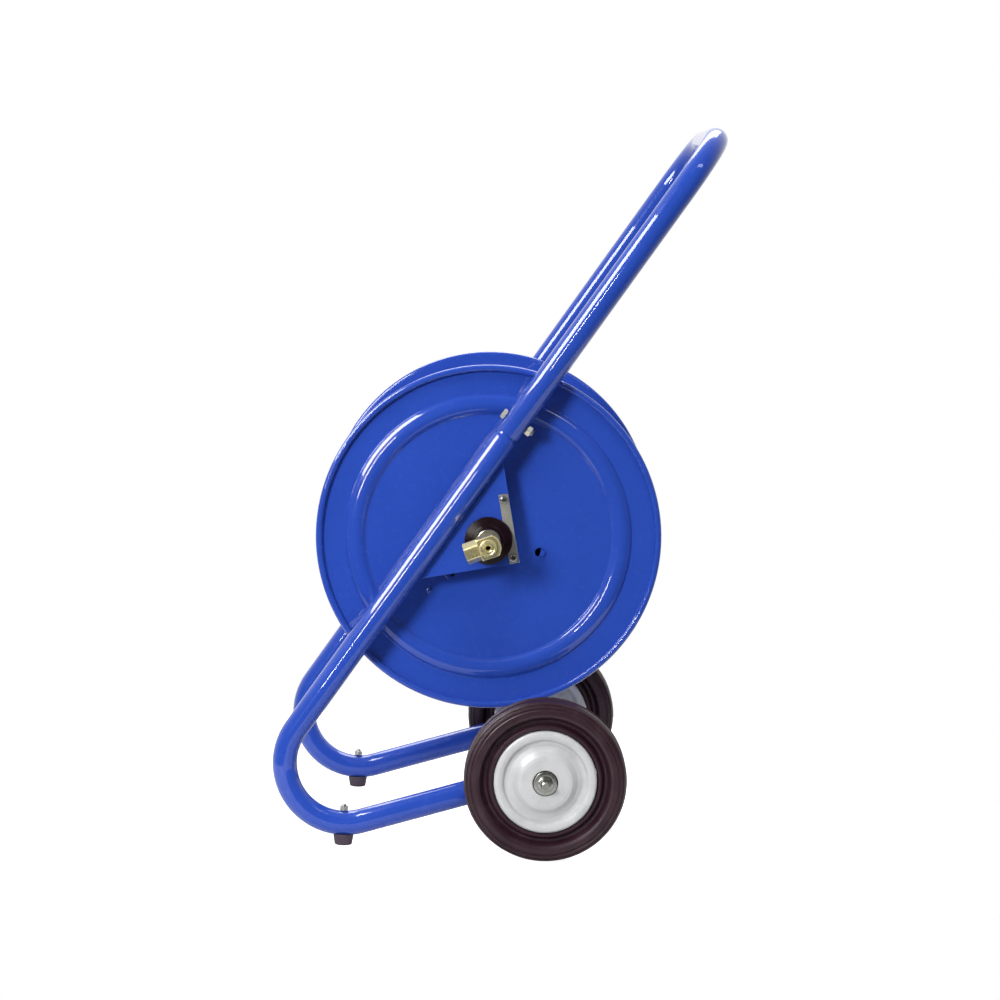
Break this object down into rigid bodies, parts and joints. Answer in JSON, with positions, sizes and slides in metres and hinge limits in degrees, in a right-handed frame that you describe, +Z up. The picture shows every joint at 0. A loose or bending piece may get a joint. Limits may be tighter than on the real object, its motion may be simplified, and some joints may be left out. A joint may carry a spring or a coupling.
{
  "type": "garden hose reel cart",
  "caption": "Push cart of bent tube that carries a hand-cranked garden hose reel between its sides, with wheels, rubber feet, a U-shaped handle and a swivelling brass water inlet.",
  "frame": {"origin": "on the floor, below the centre of the cart's bounding box", "axes": "+Z up, +X from the feet to the wheels and the handle, +Y to the side with the crank"},
  "size_m": [0.5568, 0.544, 0.933],
  "materials": {
    "blue_paint": "glossy powder coat",
    "white_paint": "satin white paint on pressed steel",
    "tyre_rubber": "dull moulded rubber",
    "foot_rubber": "matt moulded rubber",
    "black_nylon": "satin moulded nylon",
    "zinc_plate": "bright zinc plate",
    "brass": "machined yellow brass"
  },
  "bodies": {
    "frame": {"frame_tube_left": "blue_paint", "frame_tube_right": "blue_paint", "handle_bolt_left": "zinc_plate", "handle_bolt_right": "zinc_plate", "handle_nut_left": "zinc_plate", "handle_nut_right": "zinc_plate", "bearing_bracket_left": "blue_paint", "bearing_bracket_right": "blue_paint", "bearing_strip_left": "zinc_plate", "bearing_strip_right": "zinc_plate", "shaft_bearing_left": "black_nylon", "shaft_bearing_right": "black_nylon", "axle_bush_left": "zinc_plate", "axle_bush_right": "zinc_plate", "axle_washer_left": "zinc_plate", "axle_washer_right": "zinc_plate", "axle_nut_left": "zinc_plate", "axle_nut_right": "zinc_plate", "foot_left": "foot_rubber", "foot_right": "foot_rubber", "foot_bolt_left": "zinc_plate", "foot_bolt_right": "zinc_plate", "foot_nut_left": "zinc_plate", "foot_nut_right": "zinc_plate", "tube_plug_left": "black_nylon", "tube_plug_right": "black_nylon", "handle_tube": "blue_paint", "wheel_axle": "zinc_plate", "axle_spacer_tube": "blue_paint", "strip_screw_left_lower": "zinc_plate", "strip_screw_left_upper": "zinc_plate", "strip_screw_right_lower": "zinc_plate", "strip_screw_right_upper": "zinc_plate"},
    "reel": {"reel_shaft": "zinc_plate", "reel_drum": "blue_paint", "reel_disc_left": "blue_paint", "reel_disc_right": "blue_paint", "riser_pipe": "zinc_plate", "hose_outlet": "brass", "riser_clamp": "zinc_plate", "clamp_rivet": "blue_paint", "crank_arm": "blue_paint", "crank_set_bolt": "zinc_plate", "knob_bolt": "zinc_plate", "knob_nut": "zinc_plate", "swivel_nipple": "brass"},
    "knob": {"crank_knob": "black_nylon"},
    "swivel": {"swivel_elbow": "brass", "swivel_plug": "brass", "swivel_seal": "black_nylon"},
    "left_wheel": {"tyre_left": "tyre_rubber", "hub_outer_left": "white_paint", "hub_inner_left": "white_paint", "wheel_sleeve_left": "black_nylon"},
    "right_wheel": {"tyre_right": "tyre_rubber", "hub_outer_right": "white_paint", "hub_inner_right": "white_paint", "wheel_sleeve_right": "black_nylon"}
  },
  "joints": [
    {"name": "reel_spin", "type": "hinge", "parent": "frame", "child": "reel", "pos_m": [-0.01044, -0.008, 0.40041], "axis": [0, 1, 0], "continuous": true},
    {"name": "knob_spin", "type": "hinge", "parent": "reel", "child": "knob", "pos_m": [0.03642, 0.199, 0.2422], "axis": [0, 1, 0], "continuous": true},
    {"name": "swivel_turn", "type": "hinge", "parent": "frame", "child": "swivel", "pos_m": [-0.01044, -0.008, 0.40041], "axis": [0, 1, 0], "continuous": true},
    {"name": "left_wheel_spin", "type": "hinge", "parent": "frame", "child": "left_wheel", "pos_m": [0.07172, -0.008, 0.1036], "axis": [0, 1, 0], "continuous": true},
    {"name": "right_wheel_spin", "type": "hinge", "parent": "frame", "child": "right_wheel", "pos_m": [0.07172, -0.008, 0.1036], "axis": [0, 1, 0], "continuous": true}
  ]
}
